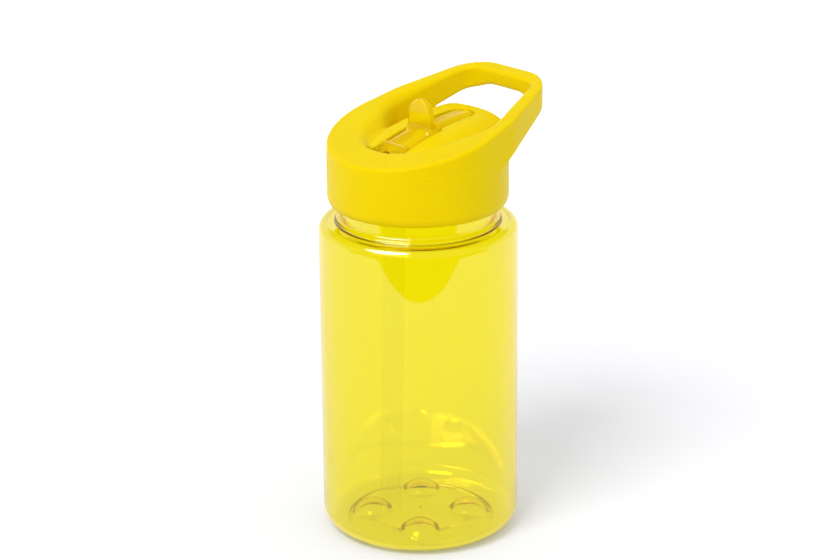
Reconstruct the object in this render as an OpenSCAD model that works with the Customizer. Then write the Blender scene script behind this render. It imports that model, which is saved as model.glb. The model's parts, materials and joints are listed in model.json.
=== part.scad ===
// Kids' drinking bottle: clear body, screw cap with a sloping loop handle, flip spout and straw.
// +Z is up, the base stands on z = 0, the bottle's axis is Z and the loop handle reaches towards +Y.

/* [Bottle body] */
// Outside diameter of the body
body_d = 65; // [62:0.5:70]
// Wall thickness of the body
wall = 1.4; // [1.0:0.1:2.0]
// Radius of the rounded edge round the base
base_round = 6.7; // [5:0.1:8]
// Diameter of the inner edge of the ring that the bottle stands on
foot_d = 48.8; // [46:0.2:51]
// How far the middle of the base is raised
panel_lift = 2.4; // [1.8:0.1:3]
// Number of moulded dimples in the base
dimple_count = 4; // [3:1:6]
// Radius of the circle that the dimples lie on
dimple_ring_r = 16; // [14:0.5:16]
// How far each dimple rises above the underside of the base
dimple_rise = 5.5; // [4.5:0.1:5.6]
// Height of the top of the rolled shoulder
shoulder_z = 106.3; // [100:0.1:107]
// Radius of the rolled shoulder
shoulder_round = 3; // [2.4:0.1:4]
// Diameter of the bead at the foot of the neck
bead_d = 54; // [53:0.1:56]
// How far the bead stands above the shoulder
bead_rise = 1.0; // [0.6:0.1:2]
// Outside diameter of the neck
neck_d = 51; // [50:0.1:51.6]
// Wall thickness of the neck
neck_wall = 1.8; // [1.4:0.1:2.2]
// Height of the lip of the neck
lip_z = 125.5; // [124:0.1:125.8]

/* [Cap skirt] */
// Outside diameter of the cap
cap_d = 58.9; // [58:0.1:60]
// Height of the lower edge of the cap
cap_z = 112.4; // [111:0.1:114]
// Height of the rounding at the lower edge
skirt_round_h = 3.1; // [2:0.1:4]
// How far the lower edge draws in
skirt_round_in = 1.15; // [0.8:0.05:1.5]
// Diameter of the bore that goes over the neck
cap_bore_d = 54.4; // [53.5:0.1:55]
// Height of the flat land that the gasket seals on
land_z = 127; // [126.8:0.1:127.4]

/* [Loop handle] */
// Height of the rim at the front of the cap
rim_front_z = 130.9; // [130:0.1:132]
// Slope of the rim towards the handle, in degrees
rim_slope = 13.3; // [11:0.1:15]
// Height on the axis of the plane that cuts the underside of the arms
arm_under_z = 123.7; // [122:0.1:126]
// Slope of the underside of the arms, in degrees
arm_under_slope = 21.5; // [19:0.5:23]
// How far the handle reaches behind the axis
handle_reach = 44.6; // [43:0.1:46]
// Width of the handle at its corners
handle_w = 42.6; // [41:0.1:44]
// Radius of the handle's outer corners
handle_corner_r = 14.3; // [12:0.1:15]
// Radius of the bulge of the arms
arm_side_r = 27.9; // [27.5:0.1:28.4]
// Place of the bulge of the arms along Y
arm_side_y = 10; // [8:0.5:11]
// Thickness of the grip bar
bar_t = 5.2; // [4.5:0.1:6]
// Height of the relief for the fingers under the grip bar
bar_under_z = 141.9; // [141:0.1:142.4]

/* [Well and dome] */
// Radius of the front of the well inside the rim
well_front_r = 19.3; // [18:0.1:20]
// Radius of the widest part of the well
well_side_r = 21.6; // [21:0.1:22]
// Place of the widest part of the well along Y
well_side_y = 10; // [8:0.5:12]
// Width of the back of the well
well_back_w = 31.8; // [30:0.1:33]
// Radius of the back corners of the well
well_corner_r = 5.7; // [5:0.1:7]
// Height of the gutter between the rim and the dome
gutter_z = 128.8; // [128.5:0.1:129]
// Radius of the dome's crown, seen from the side
crown_r = 120; // [110:1:130]
// Place of the top of the dome along Y
crown_y = 24; // [22:0.5:26]
// Height of the top of the dome
crown_top_z = 138; // [137:0.1:139]
// Width of the dome
dome_w = 41; // [40:0.5:42]
// Radius of the dome's rolled sides
dome_roll_r = 13; // [12:0.5:13]
// Radius of the dome's rolled back edge
dome_back_r = 6; // [5:0.5:7]
// Height of the level that the back edge rolls down from
dome_back_z = 139.2; // [138.8:0.1:139.6]
// Thickness of the dome
dome_t = 2.2; // [1.8:0.1:2.4]
// Radius of the hollow under the dome
hollow_r = 22; // [21:0.1:22.4]

/* [Spout slot] */
// Width of the slot for the nozzle
slot_w = 10; // [9.8:0.1:10.6]
// Place of the rounded back end of the slot along Y
slot_back_y = 24; // [23:0.1:25]
// Place of the front end of the slot along Y
slot_front_y = -17.5; // [-17.6:0.1:-16.5]
// Width of the slot from the hinge to the finger tab
hinge_w = 12.4; // [12.2:0.1:13]
// Place where the wide part of the slot ends along Y
hinge_back_y = 5.6; // [5.6:0.1:6.4]
// Free height under the folded spout
slot_clear = 2; // [1.8:0.1:2.2]
// Thickness of the walls and floor of the slot
slot_wall = 1.5; // [1.2:0.1:1.6]

/* [Mouthpiece] */
// Place of the hinge along Y
pivot_y = -10; // [-11:0.1:-9]
// Depth of the spout's centre line below the crown
spout_depth = 3.6; // [3.5:0.1:4]
// Width of the drinking nozzle
nozzle_w = 8.6; // [8:0.1:8.8]
// Height of the nozzle and the shank
spout_h = 7.6; // [7:0.1:7.8]
// Width of the shank between the hinge and the finger tab
shank_w = 11.2; // [10.6:0.1:11.4]
// Radius of the rounded edges along the shank
shank_round = 2.2; // [1.6:0.1:2.4]
// Gap between the tip of the nozzle and the end of the slot
tip_gap = 1; // [0.6:0.1:1.2]
// Diameter of the hinge barrel
barrel_d = 8.8; // [8.4:0.1:9]
// Width of the hinge barrel
barrel_w = 11.6; // [11.5:0.1:11.7]
// Diameter of the trunnions
trunnion_d = 4; // [3.5:0.1:4.4]
// Width over the trunnions
trunnion_w = 16; // [15.2:0.1:16.4]
// Radial clearance of the trunnions in their sockets
pivot_clear = 0.06; // [0.03:0.01:0.1]
// Diameter of the drinking channel
channel_d = 4; // [3:0.1:4.2]
// Diameter of the inlet that meets the seal
inlet_d = 5; // [4.8:0.1:5.4]
// Place of the finger tab along Y
tab_y = 2; // [0:0.1:4]
// Width of the finger tab
tab_w = 10; // [9.8:0.1:10.5]
// Thickness of the finger tab
tab_t = 2.7; // [2:0.1:3.2]
// Height of the top of the finger tab
tab_top_z = 146; // [144:0.1:148]

/* [Straw] */
// Outside diameter of the straw
straw_d = 7.1; // [6.8:0.1:7.4]
// Wall thickness of the straw
straw_wall = 0.6; // [0.5:0.05:0.7]
// Height of the lower end of the straw
straw_end_z = 8; // [7.8:0.1:20]
// Lean of the straw towards the front, in degrees
straw_lean = 1.9; // [0:0.1:2.4]
// Length of the spigot that the straw goes on
spigot_l = 11; // [8:0.5:14]

/* [Seals] */
// Thickness of the gasket
gasket_t = 1.3; // [1:0.1:1.35]
// Radial width of the gasket
gasket_w = 3.6; // [3:0.1:3.8]
// Diameter of the spout seal
seal_d = 8.4; // [8:0.1:8.6]
// Clearance between the seal and the barrel
seal_clear = 0.08; // [0.05:0.01:0.1]
// Place of the vent valve along Y
valve_y = 13; // [11:0.5:15]
// Diameter of the flange of the vent valve
valve_flange_d = 5.6; // [5:0.1:6.4]
// Diameter of the stem of the vent valve
valve_stem_d = 3; // [2.6:0.1:3.4]

/* [Hidden] */
$fn = 96;
// Facet count of the long flat curves
crown_fn = 360;
// How far a cut runs past the surface that it opens
cut = 1;
// Reach of the solids that stand for a half space or a through cut
tall = 80;
// Height that the upright cuts in the cap start from
cut_z = 100;
// Gap between pieces that sit in one another
seat_gap = 0.05;

body_r = body_d / 2;
foot_r = foot_d / 2;
foot_ramp = 2.2;
ramp_shift = 0.6;
neck_r = neck_d / 2;
crest_z = shoulder_z - shoulder_round;
dimple_r = 6.5;
dimple_wall = 1.2;
dimple_start = 45;

cap_r = cap_d / 2;
skirt_round_r = (pow(skirt_round_h, 2) + pow(skirt_round_in, 2)) / (2 * skirt_round_in);
rim_axis_z = rim_front_z + cap_r * tan(rim_slope);
// The loop's plan circle is a hair inside the skirt, so that the two walls meet cleanly
loop_r = cap_r - seat_gap;
corner_x = handle_w / 2 - handle_corner_r;
corner_y = handle_reach - handle_corner_r;
well_corner_x = well_back_w / 2 - well_corner_r;
well_corner_y = handle_reach - bar_t - well_corner_r;
relief_w = 28;
relief_round = 5;
relief_y = well_corner_y + well_corner_r / 2;

crown_z = crown_top_z - crown_r;
// Angle at which the rolled back edge meets the wall of the cap
back_lean = 15;
back_centre_r = cap_r - dome_back_r * cos(back_lean);
back_centre_z = dome_back_z - dome_back_r;
back_foot_z = back_centre_z + dome_back_r * sin(back_lean);

axis_r = crown_r - spout_depth;
floor_r = axis_r - spout_h / 2 - slot_clear;
pivot_z = crown_z + sqrt(pow(axis_r, 2) - pow(crown_y - pivot_y, 2));
pivot_angle = asin((crown_y - pivot_y) / axis_r);
// How far the shank runs on behind the finger tab
shank_margin = 1;
shank_back_y = tab_y + tab_t / 2 + shank_margin;
shank_angle = pivot_angle - asin((crown_y - shank_back_y) / axis_r);
socket_wall = 1.4;
// End play of the trunnions in their sockets
socket_play = 0.4;
socket_w = trunnion_w + socket_play;
cheek_wall = 2;
cheek_d = trunnion_d + 2 * cheek_wall;
// Depth of the inlet behind the hinge line, where the channel opens into it
inlet_depth = 1;

// Height of the seal under the lowest line of the barrel
seal_base_h = 2.9;
seat_z = pivot_z - barrel_d / 2 - seal_base_h;
// Height of the seal's upper edge, which stays under the folded spout
seal_h = seal_base_h + 1;
boss_z = seat_z - slot_wall;
boss_r = seal_d / 2 + slot_wall;
spigot_r = straw_d / 2 - straw_wall - seat_gap;
spigot_wall = 1;
spigot_bore_r = spigot_r - spigot_wall;
straw_gap = 0.3;
straw_l = (boss_z - straw_gap - straw_end_z) / cos(straw_lean);

gasket_gap = 0.3;
gasket_r = cap_bore_d / 2 - gasket_gap;
gasket_z = (lip_z + land_z - gasket_t) / 2;

valve_angle = asin((crown_y - valve_y) / floor_r);
valve_flange_t = 0.8;
valve_flange_gap = 0.1;
valve_stem_l = slot_wall + 2 * valve_flange_gap;
valve_stem_r = valve_stem_d / 2;
valve_barb_l = 2.4;
barb_step = 0.7;
valve_barb_r = valve_stem_r + barb_step;
tip_step = 0.3;
valve_tip_r = valve_stem_r - tip_step;
vent_r = 0.5;

clear_yellow = [1.0, 0.86, 0.1, 0.55];
cap_yellow = [0.96, 0.8, 0.04];
milky = [0.97, 0.95, 0.82, 0.85];
soft_white = [0.93, 0.93, 0.9];

// Angle, seen from both centres, of the points where a line touches two circles on their right side
function touch_angle(a, ra, b, rb) =
    atan2(b.y - a.y, b.x - a.x) - acos((ra - rb) / norm(b - a));

// The two points where that line touches
function touch_points(a, ra, b, rb) =
    let (t = touch_angle(a, ra, b, rb), u = [cos(t), sin(t)]) [a + ra * u, b + rb * u];

// Plan outline round a chain of circles, from the front one on the axis to a pair at the back corners
module loop_outline(chain) {
    last = len(chain) - 1;
    right = [
        for (i = [0 : last - 1])
            for (p = touch_points(chain[i][0], chain[i][1], chain[i + 1][0], chain[i + 1][1])) p
    ];
    corner = chain[last];
    back = [corner[0].x, corner[0].y + corner[1]];
    half = concat(right, [back]);
    mirrored = [for (i = [len(half) - 1 : -1 : 0]) [-half[i].x, half[i].y]];
    polygon(concat(half, mirrored));
    for (c = chain) {
        translate(c[0]) circle(c[1]);
        translate([-c[0].x, c[0].y]) circle(c[1]);
    }
}

// Half space above a plane that rises towards +Y and crosses the axis at height z
module above_plane(z, slope) {
    translate([0, 0, z]) rotate([slope, 0, 0]) translate([-tall, -tall, 0]) cube(2 * tall);
}

// Half space below such a plane
module below_plane(z, slope) {
    translate([0, 0, z]) rotate([slope, 0, 0]) translate([-tall, -tall, -2 * tall]) cube(2 * tall);
}

// Upright solid of a plan shape, through the whole top of the cap
module upright() {
    translate([0, 0, cut_z]) linear_extrude(tall) children();
}

// Place things round the line across the bottle that the crown curves about
module on_crown_axis() {
    translate([0, crown_y, crown_z]) rotate([0, 90, 0]) children();
}

// Place things on the hinge line of the spout
module on_hinge() {
    translate([0, pivot_y, pivot_z]) rotate([0, 90, 0]) children();
}

// Cylinder across the bottle whose top follows the crown at the given radius
module crown(r) {
    on_crown_axis() cylinder(r = r, h = tall, center = true, $fn = crown_fn);
}

// Place things along the straw's leaning axis, with the boss at the origin
module on_straw_axis() {
    translate([0, pivot_y, boss_z]) rotate([-straw_lean, 0, 0]) children();
}

// Place things on the floor of the slot at the vent valve
module on_valve_axis() {
    translate([0, crown_y, crown_z]) rotate([valve_angle, 0, 0]) translate([0, 0, floor_r]) children();
}

// Half profile of the outside of the body
module body_outside() {
    square([body_r - base_round, base_round]);
    translate([body_r - base_round, base_round]) circle(base_round);
    translate([0, base_round]) square([body_r, crest_z - base_round]);
    translate([body_r - shoulder_round, crest_z]) circle(shoulder_round);
    translate([0, crest_z]) square([bead_d / 2, shoulder_round + bead_rise]);
    translate([0, crest_z]) square([neck_r, lip_z - crest_z]);
}

// Half profile of the space inside the body
module body_inside() {
    inner_r = body_r - wall;
    ramp_r = foot_r + ramp_shift;
    difference() {
        union() {
            translate([0, wall]) square([body_r - base_round, base_round - wall]);
            translate([body_r - base_round, base_round]) circle(base_round - wall);
            translate([0, base_round]) square([inner_r, crest_z - base_round]);
            translate([body_r - shoulder_round, crest_z]) circle(shoulder_round - wall);
            square([neck_r - neck_wall, lip_z + cut]);
        }
        polygon([
            [0, 0],
            [ramp_r, 0],
            [ramp_r, wall],
            [ramp_r - foot_ramp, panel_lift + wall],
            [0, panel_lift + wall]
        ]);
    }
}

// Half profile of the hollow under the base
module base_hollow() {
    polygon([[0, -cut], [foot_r, -cut], [foot_r, 0], [foot_r - foot_ramp, panel_lift], [0, panel_lift]]);
}

// The dimples in the base, as balls of a given radius
module dimples(r) {
    for (i = [0 : dimple_count - 1])
        rotate(dimple_start + i * 360 / dimple_count)
            translate([dimple_ring_r, 0, dimple_rise - dimple_r]) sphere(r);
}

module bottle_body() {
    dimple_foot_z = panel_lift + wall / 2;
    color(clear_yellow)
    difference() {
        union() {
            rotate_extrude() difference() {
                body_outside();
                body_inside();
                base_hollow();
            }
            intersection() {
                dimples(dimple_r + dimple_wall);
                translate([-body_r, -body_r, dimple_foot_z]) cube([body_d, body_d, dimple_rise + wall]);
            }
        }
        dimples(dimple_r);
    }
}

// The round blank of the cap, with its lower edge drawn in
module skirt_blank() {
    rotate_extrude() {
        translate([0, cap_z + skirt_round_h]) square([cap_r, tall - skirt_round_h]);
        translate([0, cap_z]) square([cap_r - skirt_round_r, skirt_round_h]);
        intersection() {
            translate([cap_r - skirt_round_r, cap_z + skirt_round_h]) circle(skirt_round_r);
            translate([0, cap_z]) square([cap_r, skirt_round_h]);
        }
    }
}

// Plan of the well inside the rim and the loop
module well_outline() {
    loop_outline([
        [[0, 0], well_front_r],
        [[0, well_side_y], well_side_r],
        [[well_corner_x, well_corner_y], well_corner_r]
    ]);
}

// The dome's long crown with its rolled sides, thinner all round by a given amount
module crown_roll(inset) {
    half = dome_w / 2 - inset;
    roll = dome_roll_r - inset;
    top = crown_r - inset;
    on_crown_axis() rotate_extrude($fn = crown_fn) {
        translate([0, -half]) square([top - roll, 2 * half]);
        translate([0, roll - half]) square([top, 2 * (half - roll)]);
        for (side = [-1, 1])
            translate([top - roll, side * (half - roll)]) circle(roll);
    }
}

// Everything that the dome's rolled back edge leaves standing
module back_roll() {
    rotate_extrude() {
        square([cap_r + cut, back_foot_z]);
        square([back_centre_r, dome_back_z]);
        translate([back_centre_r, back_centre_z]) circle(dome_back_r);
    }
}

// The cap without its handle: skirt, sloping rim, and the dome in the well
module dome_blank() {
    difference() {
        skirt_blank();
        above_plane(rim_axis_z, rim_slope);
        difference() {
            translate([0, 0, gutter_z]) linear_extrude(tall) well_outline();
            intersection() {
                crown_roll(0);
                back_roll();
            }
        }
    }
}

// The loop handle, flat underneath along the arms and relieved for the fingers under the grip bar
module loop_handle() {
    difference() {
        translate([0, 0, cap_z + skirt_round_h]) linear_extrude(tall) loop_outline([
            [[0, 0], loop_r],
            [[0, arm_side_y], arm_side_r],
            [[corner_x, corner_y], handle_corner_r]
        ]);
        above_plane(rim_axis_z, rim_slope);
        below_plane(arm_under_z, arm_under_slope);
        upright() well_outline();
        translate([0, relief_y + tall, 0]) rotate([90, 0, 0]) linear_extrude(tall) {
            half = relief_w / 2 - relief_round;
            translate([-half, cut_z]) square([2 * half, bar_under_z - cut_z]);
            translate([-relief_w / 2, cut_z]) square([relief_w, bar_under_z - relief_round - cut_z]);
            for (side = [-1, 1])
                translate([side * half, bar_under_z - relief_round]) circle(relief_round);
        }
    }
}

// Plan of the slot for the mouthpiece, larger all round by a given margin
module slot_outline(margin) {
    end_r = slot_w / 2;
    translate([-end_r - margin, slot_front_y - margin])
        square([slot_w + 2 * margin, slot_back_y - end_r - slot_front_y + margin]);
    translate([0, slot_back_y - end_r]) circle(end_r + margin);
    translate([-hinge_w / 2 - margin, slot_front_y - margin])
        square([hinge_w + 2 * margin, hinge_back_y - slot_front_y + 2 * margin]);
}

// Walls and floor of the slot, hanging in the hollow under the dome, with cheeks for the pivot sockets
module slot_pocket() {
    difference() {
        intersection() {
            upright() slot_outline(slot_wall);
            crown(crown_r - dome_t / 2);
        }
        crown(floor_r - slot_wall);
    }
    intersection() {
        on_hinge() cylinder(d = cheek_d, h = socket_w + 2 * socket_wall, center = true);
        crown(crown_r - dome_t / 2);
    }
}

module screw_cap() {
    color(cap_yellow)
    difference() {
        union() {
            difference() {
                union() {
                    dome_blank();
                    loop_handle();
                }
                translate([0, 0, cap_z - cut]) cylinder(d = cap_bore_d, h = land_z - cap_z + cut);
                intersection() {
                    translate([0, 0, land_z - cut]) cylinder(r = hollow_r, h = tall);
                    crown_roll(dome_t);
                }
            }
            slot_pocket();
            translate([0, pivot_y, boss_z]) cylinder(r = boss_r, h = 2 * slot_wall);
            on_straw_axis() translate([0, 0, -spigot_l]) cylinder(r = spigot_r, h = spigot_l + cut);
        }
        difference() {
            upright() slot_outline(0);
            crown(floor_r);
        }
        on_hinge() cylinder(d = trunnion_d + 2 * pivot_clear, h = socket_w, center = true);
        translate([0, pivot_y, seat_z]) cylinder(d = seal_d + 2 * seat_gap, h = barrel_d);
        on_straw_axis() translate([0, 0, -spigot_l - cut])
            cylinder(r = spigot_bore_r, h = spigot_l + slot_wall + 2 * cut);
        on_valve_axis() cylinder(d = valve_stem_d + 2 * seat_gap, h = 4 * slot_wall, center = true);
    }
}

module cap_gasket() {
    color(soft_white)
    translate([0, 0, gasket_z]) difference() {
        cylinder(r = gasket_r, h = gasket_t);
        translate([0, 0, -cut]) cylinder(r = gasket_r - gasket_w, h = gasket_t + 2 * cut);
    }
}

// Swept length of a section along the spout's curved centre line, back from the hinge
module spout_sweep(sweep) {
    on_crown_axis() rotate(180 + pivot_angle - sweep)
        rotate_extrude(angle = sweep, $fn = crown_fn) translate([axis_r, 0]) children();
}

// Flattened round section of the nozzle
module nozzle_section() {
    side = (nozzle_w - spout_h) / 2;
    translate([0, -side]) circle(d = spout_h);
    translate([0, side]) circle(d = spout_h);
    square([spout_h, 2 * side], center = true);
}

// Flat-topped section of the shank, with rounded edges
module shank_section() {
    up = spout_h / 2 - shank_round;
    side = shank_w / 2 - shank_round;
    square([spout_h, 2 * side], center = true);
    square([2 * up, shank_w], center = true);
    for (a = [-up, up], b = [-side, side])
        translate([a, b]) circle(shank_round);
}

// Upright solid that the rounded tip of the nozzle is cut by
module tip_trim() {
    tip_r = slot_w / 2 - tip_gap / 2;
    tip_y = slot_back_y - tip_gap - tip_r;
    upright() {
        translate([-tip_r, pivot_y - barrel_d]) square([2 * tip_r, tip_y - pivot_y + barrel_d]);
        translate([0, tip_y]) circle(tip_r);
    }
}

// The upright finger tab with its round top, from just above the drinking channel
module finger_tab() {
    root_wall = 0.6;
    root_z = crown_z + sqrt(pow(axis_r, 2) - pow(crown_y - tab_y, 2)) + channel_d / 2 + root_wall;
    round_z = tab_top_z - tab_w / 2;
    translate([0, tab_y + tab_t / 2, 0]) rotate([90, 0, 0]) linear_extrude(tab_t) {
        translate([-tab_w / 2, root_z]) square([tab_w, round_z - root_z]);
        translate([0, round_z]) circle(d = tab_w);
    }
}

module mouthpiece() {
    color(clear_yellow)
    difference() {
        union() {
            intersection() {
                spout_sweep(pivot_angle) nozzle_section();
                tip_trim();
            }
            spout_sweep(shank_angle) shank_section();
            on_hinge() {
                cylinder(d = barrel_d, h = barrel_w, center = true);
                cylinder(d = trunnion_d, h = trunnion_w, center = true);
            }
            finger_tab();
        }
        spout_sweep(pivot_angle + cut) circle(d = channel_d);
        translate([0, pivot_y + inlet_depth, pivot_z]) rotate([90, 0, 0])
            cylinder(d = inlet_d, h = barrel_d + inlet_depth);
    }
}

module spout_seal() {
    color(soft_white)
    difference() {
        translate([0, pivot_y, seat_z + seat_gap]) cylinder(d = seal_d, h = seal_h);
        on_hinge() cylinder(d = barrel_d + 2 * seal_clear, h = tall, center = true);
        translate([0, pivot_y, seat_z - cut]) cylinder(d = channel_d, h = seal_h + 2 * cut);
    }
}

module straw() {
    color(milky)
    on_straw_axis() translate([0, 0, -straw_gap - straw_l]) difference() {
        cylinder(d = straw_d, h = straw_l);
        translate([0, 0, -cut]) cylinder(d = straw_d - 2 * straw_wall, h = straw_l + 2 * cut);
    }
}

module vent_valve() {
    color(soft_white)
    on_valve_axis() translate([0, 0, valve_flange_gap]) rotate_extrude() polygon([
        [vent_r, -valve_stem_l - valve_barb_l],
        [valve_tip_r, -valve_stem_l - valve_barb_l],
        [valve_barb_r, -valve_stem_l],
        [valve_stem_r, -valve_stem_l],
        [valve_stem_r, 0],
        [valve_flange_d / 2, 0],
        [valve_flange_d / 2, valve_flange_t],
        [vent_r, valve_flange_t]
    ]);
}

bottle_body();
screw_cap();
cap_gasket();
mouthpiece();
spout_seal();
straw();
vent_valve();
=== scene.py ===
"""Looks of a kids' water bottle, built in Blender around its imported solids.

Lengths of the bottle and of the camera's place are millimetres until a mesh or a camera is made, and
those of the studio are metres. The frame is the part's own: +Z is up, the bottle stands on z = 0 on
the Z axis, and the loop handle reaches towards +Y.
"""

import json
import math

import bpy
import numpy as np
from mathutils import Matrix, Vector


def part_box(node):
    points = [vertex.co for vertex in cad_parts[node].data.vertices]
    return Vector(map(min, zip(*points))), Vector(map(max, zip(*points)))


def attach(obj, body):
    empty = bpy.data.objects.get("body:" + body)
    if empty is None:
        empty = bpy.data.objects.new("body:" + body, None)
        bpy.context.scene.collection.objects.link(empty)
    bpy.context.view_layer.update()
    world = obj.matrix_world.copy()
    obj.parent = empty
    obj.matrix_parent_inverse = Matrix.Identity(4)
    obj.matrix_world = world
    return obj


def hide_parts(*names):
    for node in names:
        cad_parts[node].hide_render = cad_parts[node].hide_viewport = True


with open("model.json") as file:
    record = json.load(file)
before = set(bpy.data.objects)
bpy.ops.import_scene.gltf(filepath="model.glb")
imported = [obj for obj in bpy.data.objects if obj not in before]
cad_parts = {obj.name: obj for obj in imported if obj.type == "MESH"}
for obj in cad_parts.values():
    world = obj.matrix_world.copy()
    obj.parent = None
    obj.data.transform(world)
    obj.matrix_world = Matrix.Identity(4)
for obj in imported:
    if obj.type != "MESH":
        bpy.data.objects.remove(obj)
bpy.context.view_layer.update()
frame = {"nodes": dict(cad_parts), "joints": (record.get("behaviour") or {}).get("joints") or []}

MM = 0.001
tiny = 1e-9


# Sizes taken from the frame

def node_box(name):
    """Lowest and highest corner of a node, in millimetres."""
    low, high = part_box(name)
    return low / MM, high / MM


def joint_place(name):
    """Point that a joint turns about, in millimetres."""
    joint = next(j for j in frame["joints"] if j["name"] == name)
    return Vector(joint["pos_m"]) / MM


body_high = node_box("bottle_body")[1]
cap_low, cap_high = node_box("screw_cap")
straw_low = node_box("straw")[0]
hinge = joint_place("spout_flip")

body_r = body_high.x
lip_z = body_high.z
cap_r = cap_high.x
handle_reach = cap_high.y


# Sizes of the body and the thread

wall = 1.4
base_round = 6.7
base_band_z = 20.0
foot_r = 24.4
foot_round = 4.0
foot_ramp = 4.5
ramp_round = 8.0
inner_ramp_in = 0.4
inner_ramp_round = 6.0
panel_lift = 2.4
dimple_count = 4
dimple_turn = math.radians(45)
dimple_ring_r = 16.0
dimple_r = 6.5
dimple_rise = 5.5
dimple_wall = 1.2
dimple_blend = 0.8
dimple_margin = 1.2
far_below = -50.0
shoulder_z = 106.3
shoulder_round = 3.0
inner_shoulder_round = 2.2
bead_r = 27.0
bead_rise = 1.0
bead_under_round = 0.45
bead_round = 0.5
bead_over_round = 0.9
neck_r = 25.5
neck_wall = 1.8
lip_round = 0.7
axis_gap = 0.002
neck_slack = 0.01
body_step = 0.5
body_segments = 240

thread_pitch = 4.0
thread_turns = 1.5
thread_z = 113.6
thread_fade = 0.35
thread_crest = 0.3
thread_foot = 1.1
thread_clear = 3.0
thread_root = 0.5
neck_thread_rise = 1.1
cap_thread_rise = 1.0


# Sizes of the cap

cap_z = 112.4
skirt_round_h = 3.1
skirt_round_in = 1.15
skirt_edge_round = 0.5
bore_r = 27.2
land_z = 127.0
rim_front_z = 130.9
rim_slope = math.radians(13.3)
rim_outer_round = 1.2
rim_inner_round = 3.6
rim_front_less = 2.4
rim_back_less = 2.3
rim_back_start_y = 8.0
rim_back_end_y = 32.0
arm_under_z = 123.7
arm_under_slope = math.radians(21.5)
arm_side_r = 27.9
arm_side_y = 10.0
arm_outer_round = 0.7
arm_inner_round = 2.2
arm_edge_run = 3.0
arm_edge_depth = 5.0
arm_fillet = 3.0
handle_half_w = 21.3
handle_corner_r = 14.3
bar_t = 5.2
bar_under_z = 141.6
well_front_r = 18.2
well_side_r = 21.6
well_side_y = 10.0
well_back_half_w = 15.9
well_corner_r = 5.7
well_lean_start_y = -6.0
well_lean_end_y = 12.0
relief_half_w = 14.0
relief_round = 9.0
relief_edge_round = 2.0
gutter_z = 128.8
deck_fillet = 0.8
crown_r = 120.0
crown_y = 24.0
crown_top_z = 138.0
crown_z = crown_top_z - crown_r
dome_half_w = 20.5
dome_roll_r = 13.0
dome_back_r = 6.0
dome_back_z = 139.2
back_lean = math.radians(15)
dome_t = 2.2
hollow_r = 22.0
slot_half_w = 5.0
slot_back_y = 24.0
slot_front_y = -17.5
slot_front_round = 1.2
slot_fillet = 0.8
slot_edge_round = 0.5
slot_wall = 1.5
hinge_half_w = 6.2
hinge_back_y = 5.6
hinge_corner_round = 1.0
small_round = 0.4
overlap = 1.0
cap_step = 0.5
skin_margin = 1.0


# Sizes of the mouthpiece and its hinge

spout_depth = 3.6
slot_floor_depth = 5.8
spout_axis_r = crown_r - spout_depth
slot_floor_r = spout_axis_r - slot_floor_depth
spout_half_h = 3.8
spout_fillet = 0.8
nozzle_half_w = 4.3
nozzle_round = 2.6
tip_side_gap = 0.5
tip_back_gap = 1.0
tip_round = 1.0
shank_half_w = 5.6
shank_round = 2.2
shank_back_round = 0.8
barrel_r = 4.4
barrel_half_w = 5.8
barrel_round = 0.7
trunnion_r = 2.0
trunnion_half_w = 8.0
trunnion_round = 0.3
socket_play = 0.06
socket_end_play = 0.2
socket_half_w = trunnion_half_w + socket_end_play
cheek_wall = 2.0
cheek_end_wall = 1.4
cheek_half_w = socket_half_w + cheek_end_wall
channel_r = 2.0
inlet_r = 2.5
tab_y = 2.0
tab_half_w = 5.0
tab_half_t = 1.35
tab_top_z = 146.0
tab_flare = 0.16
tab_flare_most = 0.8
tab_round = 0.9
tab_fillet = 2.0
shank_past_tab = 1.0
shank_back_y = tab_y + tab_half_t + shank_past_tab
spout_step = 0.25


# Sizes of the straw, its spigot and the seals

straw_r = 3.55
straw_wall = 0.6
straw_lean = math.radians(1.9)
straw_gap = 0.3
straw_end_round = 0.15
straw_step = 4.0
straw_segments = 64
seat_gap = 0.05
seal_r = 4.2
seal_base_h = 2.9
seat_r = seal_r + seat_gap
boss_z = hinge.z - barrel_r - seal_base_h - slot_wall
boss_r = seal_r + slot_wall
spigot_l = 11.0
spigot_root = 0.5
way_r = 1.9
way_rise = 1.0
way_past_end = 2.8
way_middle = spigot_l / 2 - way_rise
way_half_l = spigot_l / 2 + way_past_end
seat_z = boss_z + slot_wall
seal_edge = 0.15
seal_edge_turn = math.radians(40)
seal_edge_pieces = 2
valve_y = 13.0
valve_hole_r = 1.55


# Places worked out from these sizes

rim_axis_z = rim_front_z + cap_r * math.tan(rim_slope)
skirt_round_r = (skirt_round_h ** 2 + skirt_round_in ** 2) / (2 * skirt_round_in)
corner_x = handle_half_w - handle_corner_r
corner_y = handle_reach - handle_corner_r
well_corner_x = well_back_half_w - well_corner_r
well_corner_y = handle_reach - bar_t - well_corner_r
relief_y = well_corner_y + well_corner_r / 2
loop_chain = [
    (0.0, 0.0, cap_r),
    (0.0, arm_side_y, arm_side_r),
    (corner_x, corner_y, handle_corner_r),
]
well_chain = [
    (0.0, 0.0, well_front_r),
    (0.0, well_side_y, well_side_r),
    (well_corner_x, well_corner_y, well_corner_r),
]


# Distance fields: negative inside, in millimetres

def round_and(a, b, r):
    """What two solids share, with the edge between them rounded to radius r."""
    corner = np.hypot(np.maximum(a + r, 0), np.maximum(b + r, 0))
    return np.minimum(-r, np.maximum(a, b)) + corner


def round_or(a, b, r):
    """Two solids together, with a fillet of radius r between them."""
    corner = np.hypot(np.maximum(r - a, 0), np.maximum(r - b, 0))
    return np.maximum(r, np.minimum(a, b)) - corner


def ramp(value, start, end):
    """Smooth step from 0 at start to 1 at end."""
    t = np.clip((value - start) / (end - start), 0, 1)
    return t * t * (3 - 2 * t)


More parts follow.
